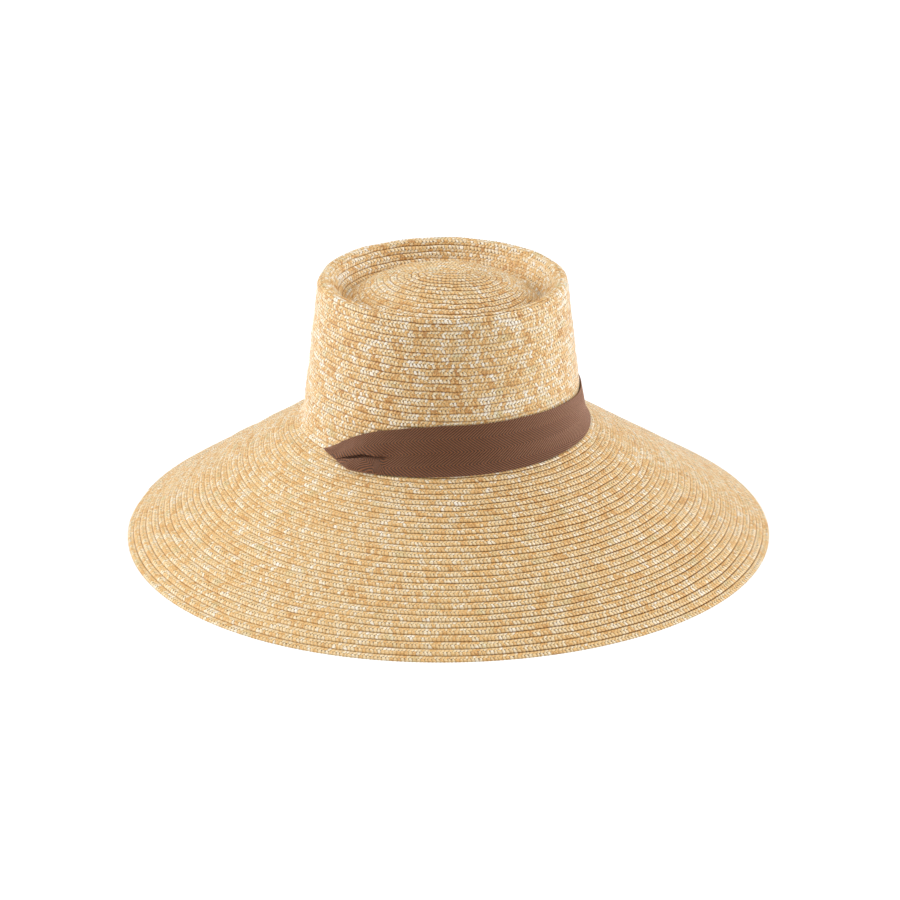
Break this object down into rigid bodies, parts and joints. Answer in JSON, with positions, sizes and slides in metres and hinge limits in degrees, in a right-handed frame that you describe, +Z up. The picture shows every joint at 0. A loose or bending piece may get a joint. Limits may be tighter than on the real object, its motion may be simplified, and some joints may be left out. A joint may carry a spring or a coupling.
{
  "type": "wide-brim straw hat",
  "caption": "Sewn straw sun hat: oval crown with rounded rim and sunken domed tip, wide sloping brim, and a brown ribbon that dives through a slit on each side.",
  "frame": {"origin": "middle of the box round the brim's edge, on the surface that the hat rests on", "axes": "+X towards the front of the hat, +Y towards the wearer's left, +Z up"},
  "size_m": [0.4562, 0.4234, 0.1945],
  "materials": {
    "straw": "plaited wheat straw, sewn in overlapping rows, slightly glossy",
    "ribbon": "matt brown herringbone twill"
  },
  "bodies": {
    "root": {"crown": "straw", "brim": "straw", "hat_band": "ribbon"}
  },
  "joints": []
}
